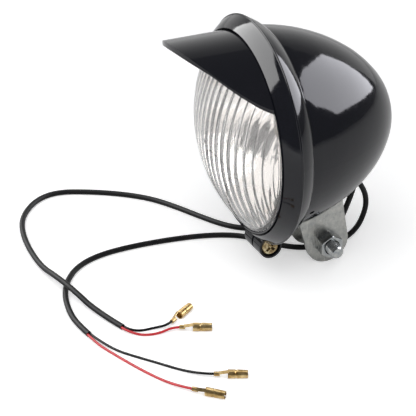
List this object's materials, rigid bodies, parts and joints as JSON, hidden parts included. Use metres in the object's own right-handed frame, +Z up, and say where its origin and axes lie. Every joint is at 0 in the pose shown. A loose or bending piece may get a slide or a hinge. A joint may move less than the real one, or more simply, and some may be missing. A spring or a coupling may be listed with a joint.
{
  "type": "motorcycle auxiliary driving light",
  "caption": "Round black driving light with a peaked visor, fluted lens, split clamp ring, zinc bracket with a bolt, and sheathed cables ending in brass sockets.",
  "frame": {"origin": "middle of the bolt across the bracket's ears", "axes": "+Y from the lens to the back of the lamp, along its axis, +Z up, +X along the bolt towards its nut"},
  "size_m": [0.233, 0.1978, 0.1556],
  "materials": {
    "black_paint": "gloss",
    "lens_glass": "clear, fluted inside",
    "gasket_rubber": "matte",
    "reflector_mirror": "polished",
    "bulb_glass": "clear",
    "bulb_metal": "satin",
    "holder_plastic": "matte",
    "yellow_zinc": "yellow plated",
    "zinc": "bright plated",
    "cable_black": "satin",
    "wire_black": "satin",
    "wire_red": "satin",
    "brass": "stamped, bright"
  },
  "bodies": {
    "root": {"housing": "black_paint", "trim_ring": "black_paint", "visor": "black_paint", "lens": "lens_glass", "lens_gasket": "gasket_rubber", "reflector": "reflector_mirror", "bulb_glass": "bulb_glass", "bulb_base": "bulb_metal", "bulb_holder": "holder_plastic", "pilot_glass": "bulb_glass", "pilot_holder": "holder_plastic", "clamp_screw": "yellow_zinc", "clamp_nut": "yellow_zinc", "bracket": "zinc", "bracket_screws": "zinc", "bracket_nuts": "zinc", "mount_bolt": "zinc", "mount_nut": "zinc", "cable_grommet": "gasket_rubber", "cable_a": "cable_black", "cable_b": "cable_black", "wire_a_red": "wire_red", "wire_a_black": "wire_black", "wire_b_red": "wire_red", "wire_b_black": "wire_black", "terminal_a_red": "brass", "terminal_a_black": "brass", "terminal_b_red": "brass", "terminal_b_black": "brass"}
  },
  "joints": []
}
